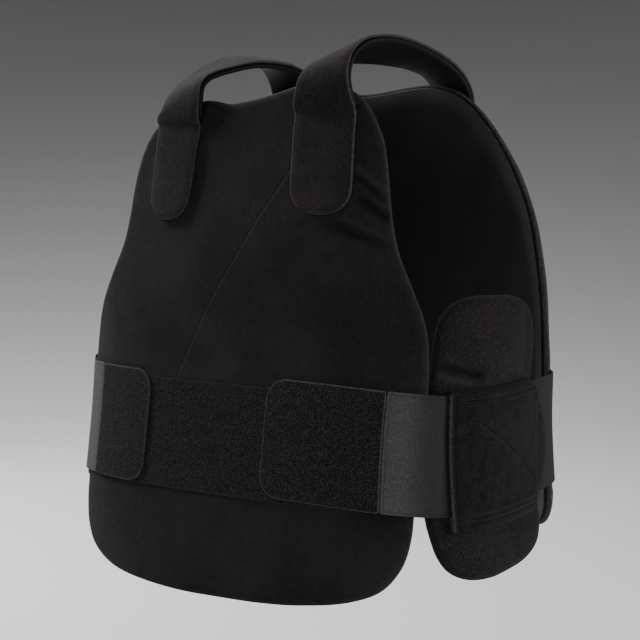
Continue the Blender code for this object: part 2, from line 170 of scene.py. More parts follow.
print("round the waist:", round(2000 * HALF_ROUND), "mm")

# %% [markdown]
# ## Cutting a pattern
#
# A flat piece is known by its edge. The edge could be filled with one big face, but folds and
# a rounded rim need many small ones. So the edge is drawn again and again, each time a little
# further in, until it closes on a line in the middle called the spine. Rings near the edge
# follow it at an even distance, which makes the rim round, and each point keeps its place on
# the pattern in an attribute, for the weave and the stitches.

# %% Outline helpers
def even_outline(points, steps):
    """A closed smooth curve through the points, cut into even steps along its length."""
    loop = np.vstack([points, points[:1]])
    length = distances(loop)
    knots = np.r_[length[-3:-1] - length[-1], length, length[1:3] + length[-1]]
    wide = np.vstack([loop[-3:-1], loop, loop[1:3]])
    at = np.linspace(0, length[-1], steps, endpoint=False)
    return np.stack([smooth(knots, wide[:, c], at) for c in (0, 1)], -1)


def inset(outline, amount):
    """Each point moves inwards, at right angles to the run between its neighbours."""
    run = np.roll(outline, -1, 0) - np.roll(outline, 1, 0)
    inward = np.stack([-run[:, 1], run[:, 0]], -1)
    return outline + amount * inward / np.linalg.norm(inward, axis=1)[:, None]


def whole_outline(left, right, steps, fullness):
    """The left half of an edge and its right half, turned over, drawn round once."""
    turned = right[-2:0:-1] * [-1, 1]
    return inset(even_outline(np.vstack([left, turned]), steps), -fullness)


EDGE_STEP = 0.0025


def rounded_box(low, high, bottom, top, low_corner, high_corner):
    """A rectangle whose two ends have corner arcs of their own radius, in even steps."""
    points = []
    for a, h, corner, start in ((high, bottom, high_corner, -90), (high, top, high_corner, 0),
                                (low, top, low_corner, 90), (low, bottom, low_corner, 180)):
        ca = a - np.sign(a - (low + high) / 2) * corner
        ch = h - np.sign(h - (bottom + top) / 2) * corner
        turn = np.radians(start + np.linspace(0, 90, 12))
        points.append(np.stack([ca + corner * np.cos(turn), ch + corner * np.sin(turn)], -1))
    loop = np.vstack(points + [points[0][:1]])
    length = distances(loop)
    at = np.linspace(0, length[-1], int(length[-1] / EDGE_STEP), endpoint=False)
    return np.stack([np.interp(at, length, loop[:, c]) for c in (0, 1)], -1)


# %% Rings from the rim to the spine
RING_STEP = 0.0024
RIM_STEPS = 8


def fill_rings(outline, spine, rim, even_run, rings):
    """Across, height and edge distance: insets up to even_run, then straight lines from
    that inset to the spine point whose share of the spine is the point's share of the piece.
    Shares are rounded, so that both sides meet in the same spine points and close there."""
    start, end = np.array(spine, float)
    axis = (end - start) / np.linalg.norm(end - start)
    along = outline @ axis
    share = (along - along.min()) / (along.max() - along.min())
    cells = int(0.9 / np.abs(share - np.roll(share, 1)).max())
    share = np.round(share * cells) / cells
    target = start + share[:, None] * (end - start)
    turn = np.linspace(0, np.pi / 2, RIM_STEPS)
    insets = np.r_[rim * (1 - np.cos(turn)), np.arange(rim, even_run, RING_STEP)[1:]]
    edge = inset(outline, even_run)
    reach = np.linalg.norm(target - edge, axis=1)
    rows = [inset(outline, d) for d in insets]
    depths = [np.full(len(outline), d) for d in insets]
    for t in np.linspace(0, 1, rings):
        rows.append(edge + t * (target - edge))
        depths.append(even_run + t * reach)
    rows = np.array(rows)
    return rows[..., 0], rows[..., 1], np.array(depths)


def quarter(depth, run):
    """1 at the edge, falling on a quarter circle to 0 at the depth run."""
    t = 1 - np.minimum(depth / run, 1)
    return 1 - np.sqrt(1 - t * t)


def two_faces(under, over, *places):
    """Rings of the under face from the spine out to the edge, then of the upper face back."""
    pairs = [(under, over)] + [(place, place) for place in places]
    return [np.vstack([low[:0:-1], high]) for low, high in pairs]


def padded_rings(outline, spine, low, high, level, low_run, high_run, even_run, rings, relief):
    """A closed pad, as out, across, height and edge distance. Both faces bend to the edge's
    own level, each on a quarter circle of its own run."""
    a, h, depth = fill_rings(outline, spine, min(low_run, high_run), even_run, rings)
    calm = 1 - quarter(depth, high_run)
    over = high - (high - level) * (1 - calm) + relief(a, h, depth) * calm
    under = low + (level - low) * quarter(depth, low_run)
    return two_faces(under, over, a, h, depth)


print("ring helpers ready")

# %% [markdown]
# ## From points to a mesh
#
# A grid of points becomes faces by joining each point with its neighbours. The rings run
# round and close on themselves. Where the last ring falls together on the spine, its doubled
# points are merged, so the piece is one closed skin, and its faces are then turned outwards.

# %% Mesh builder
PIECES = []
MERGE = 0.00008


def skin(name, points, pattern, close_rings=False):
    """Quads between ring r and r + 1 and point n and n + 1, with the pattern kept per point."""
    rings, around = points.shape[:2]
    index = np.arange(rings * around).reshape(rings, around)
    if close_rings:
        index = np.vstack([index, index[:1]])
    ahead = np.roll(index, -1, 1)
    quads = np.stack([index[:-1], ahead[:-1], ahead[1:], index[1:]], -1).reshape(-1, 4)
    mesh = bpy.data.meshes.new(name)
    mesh.from_pydata(points.reshape(-1, 3).tolist(), [], quads.tolist())
    place = mesh.attributes.new("pattern", "FLOAT_VECTOR", "POINT")
    pattern = np.stack(np.broadcast_arrays(*pattern), -1)
    place.data.foreach_set("vector", pattern.astype(np.float32).ravel())
    bm = bmesh.new()
    bm.from_mesh(mesh)
    bmesh.ops.remove_doubles(bm, verts=bm.verts, dist=MERGE)
    bmesh.ops.recalc_face_normals(bm, faces=bm.faces)
    bm.to_mesh(mesh)
    loose = sum(1 for e in bm.edges if len(e.link_faces) < 2)
    bm.free()
    mesh.polygons.foreach_set("use_smooth", np.ones(len(mesh.polygons), bool))
    obj = bpy.data.objects.new(name, mesh)
    bpy.context.scene.collection.objects.link(obj)
    print(name, "faces", len(mesh.polygons), "open edges", loose)
    return obj


def settle(obj, nodes, material, rests_on=()):
    """The piece rides on the one body, stands for its solids and takes its finish."""
    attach(obj, "root")
    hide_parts(*nodes)
    obj.data.materials.append(material)
    PIECES.append(obj.name)


# %% [markdown]
# ## Writing materials as sums
#
# A material is a net of nodes. Wiring it by hand is long, so a small class holds one socket
# and turns plus, minus, times and so on into Math nodes. Any other node comes from one method.

# %% Shader maths
class Wire:
    """One output socket, with operators that add Math nodes to its tree."""

    def __init__(self, tree, socket):
        self.tree = tree
        self.socket = socket

    def node(self, kind, inputs, out=0, **settings):
        """A node of any type: settings first, then the values or links of its sockets."""
        made = self.tree.nodes.new("ShaderNode" + kind)
        for key, value in settings.items():
            setattr(made, key, value)
        for key, value in inputs.items():
            socket = made.inputs[key]
            if isinstance(value, Wire):
                self.tree.links.new(value.socket, socket)
            else:
                socket.default_value = value
        return Wire(self.tree, made.outputs[out])

    def maths(self, operation, *others):
        """One Math node on this wire and others."""
        return self.node("Math", dict(enumerate((self, *others))), operation=operation)

    def __add__(self, other):
        return self.maths("ADD", other)

    def __mul__(self, other):
        return self.maths("MULTIPLY", other)

    def __sub__(self, other):
        return self.maths("SUBTRACT", other)

    def __rsub__(self, other):
        return self.node("Math", {0: other, 1: self}, operation="SUBTRACT")

    def __abs__(self):
        return self.maths("ABSOLUTE")

    def band(self, low, high):
        """0 below low, 1 above high, with a soft step between them."""
        inputs = {"Value": self, "From Min": low, "From Max": high}
        return self.node("MapRange", inputs, interpolation_type="SMOOTHSTEP")


def tint(wire, share, one, two):
    """Colour mix of one and two by share."""
    return wire.node("Mix", {0: share, 6: one, 7: two}, out=2, data_type="RGBA")


def shade(base, *factors):
    """The base colour times one factor, or times one each for red, green and blue."""
    return (*[c * f for c, f in zip(base, factors * (3 // len(factors)))], 1)


def split(place):
    """The parts of a place. On a pattern they are across, height and edge distance."""
    parts = place.node("SeparateXYZ", {0: place}).socket.node
    return [Wire(place.tree, socket) for socket in parts.outputs]


def start_material(name, roughness, sheen, sheen_roughness=0.5, specular=0.3):
    """A Principled material with its even numbers set, and wires to object and pattern places."""
    made = bpy.data.materials.new(name)
    made.use_nodes = True
    tree = made.node_tree
    shader = tree.nodes["Principled BSDF"]
    shader.inputs["Roughness"].default_value = roughness
    shader.inputs["Specular IOR Level"].default_value = specular
    shader.inputs["Sheen Weight"].default_value = sheen
    shader.inputs["Sheen Roughness"].default_value = sheen_roughness
    start = Wire(tree, None)
    place = start.node("TexCoord", {}, out="Object")
    pattern = start.node("Attribute", {}, out="Vector", attribute_name="pattern")
    return made, shader, place, pattern


def noise(place, scale, detail=2.0, rough=0.5):
    """Fractal noise, 0 to 1, at so many lumps a metre."""
    inputs = {"Vector": place, "Scale": scale, "Detail": detail, "Roughness": rough}
    return place.node("TexNoise", inputs)


def join(shader, colour, height, distance, rough=None):
    """Colour, bump and roughness go to the shader."""
    tree = shader.id_data
    bump = height.node("Bump", {"Height": height, "Distance": distance, "Strength": 1.0})
    tree.links.new(colour.socket, shader.inputs["Base Color"])
    tree.links.new(bump.socket, shader.inputs["Normal"])
    if rough is not None:
        tree.links.new(rough.socket, shader.inputs["Roughness"])


def line_distance(pattern, line):
    """Distance on the pattern from a straight line, and the run along it, in metres. The line
    is the across and height of one end and of the other, in millimetres."""
    start_x, start_y, end_x, end_y = mm(*line).tolist()
    length = float(np.hypot(end_x - start_x, end_y - start_y))
    unit_x, unit_y = (end_x - start_x) / length, (end_y - start_y) / length
    across, height, _ = split(pattern)
    x, y = across - start_x, height - start_y
    along = x * unit_x + y * unit_y
    past = along.maths("MAXIMUM", 0.0).maths("MINIMUM", length)
    off_x, off_y = x - past * unit_x, y - past * unit_y
    return (off_x * off_x + off_y * off_y).maths("SQRT"), along


STITCH_PITCH = 0.0032


def stitch_line(pattern, line):
    """A sewn line: a groove 1.6 mm wide, and a thread that shows between the needle holes."""
    distance, along = line_distance(pattern, line)
    groove = 1 - distance.band(0.0004, 0.0016)
    beat = (along * (2 * np.pi / STITCH_PITCH)).maths("SINE").band(-0.6, 0.2)
    return groove, (1 - distance.band(0.0003, 0.0006)) * beat


print("shader helpers ready")

# %% [markdown]
# ## Brushed cloth
#
# The cover is a brushed knit: a short dark nap with hairs drawn out level, a slow change of
# tone from wear, painted shade in the valleys of the folds with a painted highlight on their
# crests, and a painted highlight along the edges. Fur could be grown, but here the nap is
# under a millimetre, so noise in tone and bump gives the same look.

# %% Brushed cloth
HAIR = (0.062, 0.056, 0.062, 1)
THREAD = (0.045, 0.045, 0.047, 1)
# Painted highlight colour for the crests of folds.
FOLD_HIGHLIGHT = (0.032, 0.032, 0.034, 1)
# Painted highlight colour for edges, where grazing light catches the nap.
EDGE_HIGHLIGHT = (0.060, 0.060, 0.063, 1)


def brushed_cloth(name, base, lines=(), warm=0.35, rim=0.0, fuzz=0.10, folds=()):
    """Nap from fine noise, tone from slow noise, fuzz from noise drawn out level, stitched
    lines, painted shade in each fold's valley and a painted highlight on its crest, and a
    painted highlight along the edge where the pattern's edge distance is small."""
    made, shader, place, pattern = start_material(name, 0.95, 0.03, 0.5, 0.08)
    fine, medium, slow = (noise(place, *row) for row in ((950, 2, 0.6), (160,), (11,)))
    tone = (fine * 0.40 + medium * 0.15 + slow * 0.45).band(0.36, 0.64)
    colour = tint(place, tone, shade(base, 0.62), shade(base, 1.50))
    reddish = noise(place, 26).band(0.56, 0.78) * warm
    colour = tint(place, reddish, colour, shade(base, 2.0, 1.25, 1.4))
    streaks = place.node("VectorMath", {0: place, 1: (1.0, 1.0, 2.4)}, operation="MULTIPLY")
    hair = noise(streaks, 430, 4, 0.8).band(0.49, 0.70) * fuzz
    colour = tint(place, hair, colour, HAIR)
    height = fine * 0.40 + medium * 0.25 + hair * 0.3
    # Painted fold shading: a painted shade darkens each fold's valley, and a painted highlight
    # lightens its crest.
    for *line, width, share in folds:
        distance, _ = line_distance(pattern, line)
        near = (1 - distance.band(0.0, width / 1000)) * (medium.band(0.20, 0.50) * abs(share))
        colour = tint(place, near, colour, shade(base, 0.30) if share > 0 else FOLD_HIGHLIGHT)
    for *line, share in lines:
        groove, thread = stitch_line(pattern, line)
        colour = tint(place, thread * (0.45 * share), colour, THREAD)
        height = height - groove * (0.9 * share) + thread * (0.4 * share)
    # Painted highlight: paler along the edge, where grazing light catches the nap.
    if rim:
        edge = split(pattern)[2]
        wear_and_highlight = (1 - edge.band(0.0004, 0.0022)) * (fine.band(0.35, 0.60) * rim)
        colour = tint(place, wear_and_highlight, colour, EDGE_HIGHLIGHT)
    join(shader, colour, height, 0.0008)
    return made


X_LINES = ((43.5, 365.3, 10.8, 320.6, 1.0), (10.8, 320.6, -29.6, 250.5, 0.7),
           (-29.6, 250.5, -58.7, 180.9, 0.45), (-57.7, 288.4, -6.1, 211.5, 0.3))
# Lines of painted fold shading: two ends, a width in mm and a share; a positive share paints
# shade, a negative one a highlight.
FRONT_FOLD_SHADE = ((105.5, 358.5, 131, 340, 6, 0.50), (109, 366, 133, 349, 6, -0.40),
               (107.5, 343, 136, 324, 6.5, 0.50), (109, 351.5, 135, 332, 5, -0.40),
               (86, 319.5, 134, 301, 7.5, 0.32), (100, 324.5, 136, 309, 6, -0.30))
PAD_FOLD_SHADE = ((185, 204, 218, 195.5, 6.5, 0.75), (185, 196, 210, 190, 4, -0.35))
cover_cloth = brushed_cloth("cover_cloth", (0.0125, 0.0125, 0.0128), X_LINES, rim=0.35,
                            folds=FRONT_FOLD_SHADE)
plain_cloth = brushed_cloth("plain_cloth", (0.0110, 0.0110, 0.0113), rim=0.9)
strap_cloth = brushed_cloth("strap_cloth", (0.0135, 0.0125, 0.0131), warm=0.7, rim=0.9,
                            fuzz=0.42)
pad_cloth = brushed_cloth("pad_cloth", (0.0088, 0.0083, 0.0088), warm=0.7, fuzz=0.50,
                          folds=PAD_FOLD_SHADE)
print("cloths:", [m.name for m in (cover_cloth, plain_cloth, strap_cloth, pad_cloth)])

# %% [markdown]
# ## Lining, tapes and elastic
#
# The lining that lies against the body is smooth and woven in a fine diagonal twill, so it
# shines a little where light grazes it, and a painted highlight lies where it rolls over at
# its seam. Loop tape is a dense pile of curly loops, which show as fine pale strokes in no
# order, with a painted highlight along the cut edge. Elastic is ribbed along its length, with
# painted shade where it turns round the side.

# %% Lining cloth
def lining_cloth(name, base, pale):
    """A twill: sine ridges along a diagonal of the pattern, broken by a little noise. A painted
    highlight lies over the last centimetre or two before the seam, where it rolls over."""
    made, shader, place, pattern = start_material(name, 0.55, 0.0, 0.4, 0.12)
    x, y, edge = split(pattern)
    diagonal = ((x + y) * 3300.0).maths("SINE")
    cross = ((x - y) * 2100.0).maths("SINE")
    weave = diagonal * 0.35 + cross * 0.15 + noise(place, 700) * 0.5
    colour = tint(place, weave.band(0.0, 0.8), shade(base, 0.7), shade(base, 1.6))
    # Painted highlight towards the seam, where the lining rolls over; the weave breaks it up.
    seam_roll_highlight = (1 - edge.band(-0.004, 0.019)) * (weave.band(0.0, 0.55) * 0.8 + 0.2)
    colour = tint(place, seam_roll_highlight, colour, pale)
    rough = noise(place, 40).band(0.2, 0.8) * 0.16 + 0.44
    join(shader, colour, weave, 0.0003, rough)
    return made


# %% Loop and hook tape
def pile_tape(name, base, grain, contrast, rim):
    """Fuzz: fine grain, and curly loops where a noise crosses its middle value, which catch
    the light. A painted highlight lies along the cut edge."""
    made, shader, place, pattern = start_material(name, 0.97, 0.03, 0.5, 0.06)
    tuft = noise(place, grain, 2, 0.6)
    fuzz = noise(place, grain * 2.6, 3, 0.7)
    loop = 1 - abs(tuft - 0.5).band(0.0, 0.045)
    pile = fuzz * 0.5 + loop * 0.5
    colour = tint(place, pile.band(0.25, 0.85), shade(base, 0.50), shade(base, contrast))
    edge = split(pattern)[2]
    # Painted highlight along the cut edge, broken up by the fuzz.
    wear_and_highlight = (1 - edge.band(0.0004, 0.0017)) * (fuzz.band(0.38, 0.60) * rim)
    colour = tint(place, wear_and_highlight, colour, (0.100, 0.100, 0.103, 1))
    join(shader, colour, pile, 0.0007)
    return made


# %% Elastic webbing
def elastic_web(name, base):
    """Ribs run along the strap: a sine across its height, with finer cross ribs and yarn
    noise. A line inside its woven edge is darker. Painted shade darkens the part that turns
    round the side, and a painted shadow lies where the elastic goes under the sleeve."""
    made, shader, place, pattern = start_material(name, 0.80, 0.04, 0.5, 0.15)
    x, y, edge = split(pattern)
    ribs = (y * (2 * np.pi / 0.0019)).maths("SINE") * 0.5
    knit = (x * (2 * np.pi / 0.0012)).maths("SINE") * 0.5
    surface = ribs * 0.12 + knit * 0.08 + noise(place, 600, 3, 0.6)
    dark, light = shade(base, 0.68), shade(base, 1.35)
    colour = tint(place, surface.band(0.3, 0.75), dark, light)
    selvedge = (1 - abs(edge - 0.0026).band(0.0004, 0.0011)) * 0.6
    colour = tint(place, selvedge, colour, dark)
    colour = tint(place, noise(place, 14).band(0.35, 0.75) * 0.25, colour, light)
    # Painted shade where the elastic turns round the side, and a painted shadow beside the
    # sleeve's front edge, where the elastic goes under it.
    side_shade_and_sleeve_shadow = x.band(0.155, 0.184) * 0.74 + x.band(0.1885, 0.1930) * 0.20
    colour = tint(place, side_shade_and_sleeve_shadow, colour, (0.006, 0.006, 0.006, 1))
    join(shader, colour, surface - selvedge, 0.0005)
    return made


inner_cloth = lining_cloth("inner_cloth", (0.0054, 0.0054, 0.0057), (0.042, 0.042, 0.044, 1))
strap_inner = lining_cloth("strap_inner", (0.0045, 0.0045, 0.0048), (0.0075, 0.0075, 0.008, 1))
loop_pile = pile_tape("loop_pile", (0.0175, 0.0175, 0.0175), 500, 2.8, 0.15)
tab_pile = pile_tape("tab_pile", (0.0195, 0.0195, 0.0195), 460, 2.8, 0.8)
hook_pile = pile_tape("hook_pile", (0.020, 0.020, 0.020), 700, 1.6, 0.3)
web = elastic_web("elastic_web", (0.055, 0.056, 0.056))
print("tapes and webs ready")

# %% [markdown]
# ## Front and back panels
#
# Each panel is a soft armour pad in a sewn cover, about ten millimetres thick. It could be a
# box with rounded edges, but its edge is drawn in the pattern, deep at the armholes.
# The relief adds what wear does: slow waves, and creases that run from under the strap.

# %% Panel outlines
FRONT_LEFT = mm((0, -0.6), (40, 0.4), (81, 3.7), (125, 11.8), (145.5, 21.4), (159, 39),
                (165.8, 61.1), (169.2, 96), (172.2, 147), (173.5, 190), (172.2, 215), (168, 238),
                (159, 262), (145.5, 295.3), (139.5, 320), (135.7, 348), (132.5, 372.3),
                (128.8, 388.4), (123.2, 400.5), (117, 411.5), (108.5, 421), (96, 429),
                (74, 434.2), (52, 435), (37, 433), (22, 429.2), (0, 424))
FRONT_RIGHT = mm((0, -0.6), (40, -0.8), (81, 1.8), (105.8, 4.8), (125, 9.2), (139.2, 15),
                 (151.8, 23.2), (162.6, 37.6), (169.6, 60), (172.8, 96), (175.5, 147),
                 (176.8, 200), (173, 233.7), (161.2, 265.1), (148.5, 295.3), (144.8, 318),
                 (143.4, 345), (141, 362), (135.5, 380), (128, 393), (116.5, 404), (100, 412.5),
                 (80, 419), (64, 422.2), (52, 421.5), (35.4, 419), (19.2, 420.8), (0, 424))
BACK_HALF_EDGE = mm((0, 30), (40, 30), (85, 30.3), (120.4, 30.8), (154, 32.5), (183, 39.5),
                    (201, 57), (211.5, 85), (215.5, 125), (216, 160), (213.5, 200), (212, 240),
                    (211.2, 281.1), (202, 321.8), (185, 353.5), (166.2, 383), (149.8, 404),
                    (132.5, 421.5), (110.5, 435.2), (81.8, 441), (52.8, 439.4), (25.8, 435.8),
                    (0, 433.8))
PANEL_STEPS = 440
PANEL_RINGS = 40
LINING_RINGS = 36
LINING_RIM = 0.0010
FRONT_OUTLINE = whole_outline(FRONT_LEFT, FRONT_RIGHT, PANEL_STEPS, 0.0018)
BACK_OUTLINE = whole_outline(BACK_HALF_EDGE, BACK_HALF_EDGE, PANEL_STEPS, 0.0026)
LINING_INSET = 0.0030
CARRIER_IN = 0.0018
CARRIER_OUT = 0.0113
SEAM = 0.0003
EVEN_RUN = 0.021
LOOP = (-0.1620, 0.1620, 0.0858, 0.1805)


# %% Creases and waves
def crease(a, h, start, end, width):
    """A bell across the line from start to end, that fades out at both ends."""
    run = end - start
    t = np.clip(((a - start[0]) * run[0] + (h - start[1]) * run[1]) / (run @ run), 0, 1)
    away = (a - start[0] - t * run[0]) ** 2 + (h - start[1] - t * run[1]) ** 2
    return np.exp(-away / width ** 2) * (1 - (2 * t - 1) ** 4)


def creased(rise, a, h, *rows):
    """The rise less the depth of each crease. A row is two ends, a width and a depth in mm."""
    for row in mm(*rows):
        rise = rise - row[5] * crease(a, h, row[:2], row[2:4], row[4])
    return rise


def waves(a, h, seed):
    """A sum of seven slow sines in turned directions, about one high."""
    rng = np.random.default_rng(seed)
    total = np.zeros_like(a)
    for turn, length, phase in zip(rng.uniform(0, np.pi, 7), rng.uniform(0.05, 0.16, 7),
                                   rng.uniform(0, 6.28, 7)):
        total += np.sin((a * np.cos(turn) + h * np.sin(turn)) * 2 * np.pi / length + phase)
    return total / 3.2


def held_flat(a, h, boxes, soft=0.006):
    """1 inside any box of low, high, bottom and top, falling to 0 over soft outside it."""
    held = 0
    for low, high, bottom, top in boxes:
        side = np.maximum(np.maximum(low - a, a - high), np.maximum(bottom - h, h - top))
        t = np.clip(1 - side / soft, 0, 1)
        held = np.maximum(held, t * t * (3 - 2 * t))
    return held


FRONT_HELD = ((LOOP[0] - 0.004, LOOP[1] + 0.004, LOOP[2], LOOP[3]), (0.042, 0.109, 0.322, 0.43),
              (-0.116, -0.059, 0.314, 0.42))
BACK_HELD = ((0.110, 0.230, 0.080, 0.192), (0.060, 0.128, 0.350, 0.44))


def front_relief(a, h, depth):
    """Waves on the open cloth, flat under the band and straps, and creases by the strap."""
    rise = 0.0007 * waves(a, h, 4) * (1 - held_flat(a, h, FRONT_HELD))
    return creased(rise, a, h, (105.5, 358.5, 131, 340, 5.8, 5.2),
                   (107.5, 343, 140, 323, 6.2, 5.6), (86, 319.5, 143, 299, 7, 5),
                   (118, 385, 130, 360, 4, 1), (-150, 250, -120, 215, 9, 1),
                   (120, 250, 165, 205, 8, 1))


def back_relief(a, h, depth):
    """The outside of the back: slow waves, flat under the strap ends and the elastics."""
    return 0.0009 * waves(a, h, 9) * (1 - held_flat(np.abs(a), h, BACK_HELD))


# %% Covers of the two panels
PANELS = {"front": dict(outline=FRONT_OUTLINE, spine=((0, 0.11), (0, 0.33)), relief=front_relief,
                        back=False, cloth=cover_cloth, level=0.0062, low_run=0.013,
                        high_run=0.0080),
          "back": dict(outline=BACK_OUTLINE, spine=((0, 0.14), (0, 0.33)), relief=back_relief,
                       back=True, cloth=plain_cloth, level=0.0086, low_run=0.019,
                       high_run=0.0050)}


def cover(label, side):
    """A padded panel on its spine, wrapped round the body."""
    out, a, h, depth = padded_rings(side["outline"], side["spine"], CARRIER_IN, CARRIER_OUT,
                                    side["level"], side["low_run"], side["high_run"], EVEN_RUN,
                                    PANEL_RINGS, side["relief"])
    obj = skin(label + "_cover", wrap(a, h, out, side["back"]), (a, h, depth))
    settle(obj, [label + "_carrier"], side["cloth"])


for label, side in PANELS.items():
    cover(label, side)


# %% Linings
def lining(label, side):
    """A thin sheet under the cover that bends outwards with it, up to a seam near the edge."""
    outline = inset(side["outline"], LINING_INSET)
    a, h, depth = fill_rings(outline, side["spine"], LINING_RIM, EVEN_RUN, LINING_RINGS)
    bend = (side["level"] - CARRIER_IN) * quarter(depth + LINING_INSET, side["low_run"])
    bend = bend - 0.0006 * quarter(depth, 0.003)
    puff = 0.0010 * (1 - np.exp(-depth / 0.014))
    slack = 0.0005 * waves(a, h, 5) * np.minimum(depth / 0.01, 1)
    rim = quarter(depth, LINING_RIM) * 0.0007
    top = 0.0015 - rim + bend
    base = 0.0001 + rim + (bend - puff + slack)
    base[0] = top[0]
    out, a, h, depth = two_faces(base, top, a, h, depth)
    obj = skin(label + "_inner", wrap(a, h, out, side["back"]), (a, h, depth))
    settle(obj, [label + "_lining"], inner_cloth,
           rests_on=[label + "_carrier"])


for label, side in PANELS.items():
    lining(label, side)

# %% [markdown]
# ## Loop band
#
# The band is a strip of loop tape sewn across the belly, where the tabs hook on. It lies flat
# on the panel, so it is the same kind of ring-filled piece, very thin, with a short rim.

# %% Loop band
def no_relief(a, h, depth):
    """Flat."""
    return 0 * a


def carry(side, a, h, out):
    """Places in space of a waist piece: its ride carries it outwards and down."""
    knots, outwards, down = side["ride"].T
    out = out + steady(knots, outwards, a)
    h = h + steady(knots, down, a)
    return wrap(side["sign"] * a, h, out)


def flat_piece(name, outline, spine, low, high, rim, side=None, rings=18):
    """A thin piece: the band, or a part of a waist strap that is carried by its side's ride."""
    out, a, h, depth = padded_rings(outline, spine, low, high, (low + high) / 2, rim, rim,
                                    rim + 0.0012, rings, no_relief)
    return skin(name, carry(side, a, h, out) if side else wrap(a, h, out), (a, h, depth))


band_low = CARRIER_OUT + SEAM
band_edge = rounded_box(*LOOP, 0.002, 0.002)
band = flat_piece("loop_band", band_edge, ((-0.135, 0.133), (0.135, 0.133)), band_low,
                  band_low + 0.0011, 0.0005)
settle(band, ["front_loop_band"], loop_pile,
       rests_on=["front_carrier"])

# %% [markdown]
# ## Waist straps
#
# On each side a stiff hook tab grips the band, and a wide elastic runs back from it through a
# cloth sleeve to the back panel. The ride tables say how far out the strap lies and how much
# it slants, from the front centre round to the back, so tab and elastic follow one surface.

# %% Ride tables
BACK_RIDE = 1000 * (CARRIER_OUT + SEAM)
FRONT_RIDE = BACK_RIDE + 1.4
LEFT_RIDE = mm((0, FRONT_RIDE, 4), (55, FRONT_RIDE, 2.8), (100, FRONT_RIDE, 1.2),
               (144, FRONT_RIDE, -1.8), (175, FRONT_RIDE, -4), (185, 11.4, -4.9),
               (195, 9.3, -5.3), (205, 8.4, -5), (250, 8.4, -2.5), (300, 8.4, -0.5), (325, 9, 0),
               (350, 11, 0), (360, BACK_RIDE, 0), (600, BACK_RIDE, 0))
RIGHT_RIDE = mm((0, FRONT_RIDE, 0), (165, FRONT_RIDE, 0), (175, 10.8, 0), (185, 6, 0),
                (195, 2.4, 0), (205, 0.6, 0), (225, -1.5, 0), (250, -3, 0), (300, -3, 0),
                (330, 0, 0), (347, 7, 0), (359, BACK_RIDE, 0), (600, BACK_RIDE, 0))
WAIST = (0.0867, 0.1862)
ELASTIC_END = 0.4550
TAB_CORNER = 0.018
SEWN_CORNER = 0.0015
TAB_THICK = 0.0022
WEB_THICK = 0.0018
SIDES = {"left": dict(sign=1, ride=LEFT_RIDE, tab=(0.0400, 0.1440), pad_out=0.0070),
         "right": dict(sign=-1, ride=RIGHT_RIDE, tab=(0.0845, 0.1485), pad_out=-0.0045)}


# %% Tabs and elastics
def waist_strap(label, side):
    """A tab with two rounded corners, and the elastic sewn to its back end."""
    low, high = side["tab"]
    middle = sum(WAIST) / 2
    edge = rounded_box(low, high, *WAIST, TAB_CORNER, SEWN_CORNER)
    tab = flat_piece("hook_tab_" + label, edge, ((low + 0.035, middle), (high - 0.03, middle)),
                     0.0, TAB_THICK, 0.0010, side)
    settle(tab, ["waist_tab_" + label], tab_pile,
           rests_on=["front_loop_band"])
    edge = rounded_box(high + SEAM, ELASTIC_END, *WAIST, SEWN_CORNER, SEWN_CORNER)
    elastic = flat_piece("elastic_" + label, edge, ((high + 0.045, middle), (0.410, middle)),
                         0.0, WEB_THICK, 0.0008, side, 20)
    settle(elastic, ["waist_elastic_" + label], web,
           rests_on=["back_carrier"])


for label, side in SIDES.items():
    waist_strap(label, side)

# %% [markdown]
# ## Side pads
#
# Under each elastic hangs a tall rounded pad that closes the gap between the panels. It is a
# padded piece like the panels, thicker for its size, with a crease where the sleeve grips it.

# %% Side pads
PAD_EDGE = mm((230, 26), (257, 27.8), (289, 32.2), (308, 43), (314.5, 60), (309.8, 90),
              (300, 142.3), (300, 200), (300, 233), (294.7, 247.7), (280, 255), (265, 258.2),
              (235, 260), (207, 259), (191.5, 252.8), (182.2, 241), (178.8, 225), (178.5, 150),
              (180, 80.5), (183.8, 63.3), (189.2, 48.2), (197.9, 36.1), (212, 28.5))
PAD_SPINE = ((0.2440, 0.075), (0.2430, 0.215))
PAD_HELD = ((0.15, 0.36, 0.071, 0.190),)
PAD_THICK = 0.0092


def pad_relief(a, h, depth):
    """Swells above and below the sleeve, and creases fan out of the sleeve's top corner."""
    held = held_flat(a, h, PAD_HELD, 0.012)
    rise = (0.0026 * (1 - np.exp(-depth / 0.016)) + 0.0006 * waves(a, h, 12)) * (1 - held)
    return creased(rise, a, h, (183, 203.5, 224, 193.5, 5, 6.2), (188, 214, 226, 198, 5.5, 2),
                   (276, 256, 281, 190, 7, 1.2), (250, 70, 270, 35, 8, 1))


def side_pad(label, side):
    """The padded piece, out at its own distance from the body."""
    outline = inset(even_outline(PAD_EDGE, 240), -0.0015)
    high = side["pad_out"]
    out, a, h, depth = padded_rings(outline, PAD_SPINE, high - PAD_THICK, high, high - 0.0050,
                                    0.0060, 0.0075, 0.014, 20, pad_relief)
    obj = skin("side_pad_cover_" + label, wrap(side["sign"] * a, h, out), (a, h, depth))
    settle(obj, ["side_pad_" + label], pad_cloth)


for label, side in SIDES.items():
    side_pad(label, side)

# %% [markdown]
# ## Sleeves
#
# The sleeve is a flat tunnel of cloth sewn to the pad, with the elastic inside. Its cross
# section is a long thin loop of height and out. Carried along the strap and back again on the
# inside, the loop gives a closed wall, with a rolled edge in front and a bowed one behind.

# %% Sleeve cloth
SLEEVE_STITCHES = ((219.2, 160.5, 294.3, 101.9), (201, 182.2, 305, 182.2),
                   (201, 177, 308, 177), (204, 80.8, 300, 80.8), (204, 86, 305, 86))


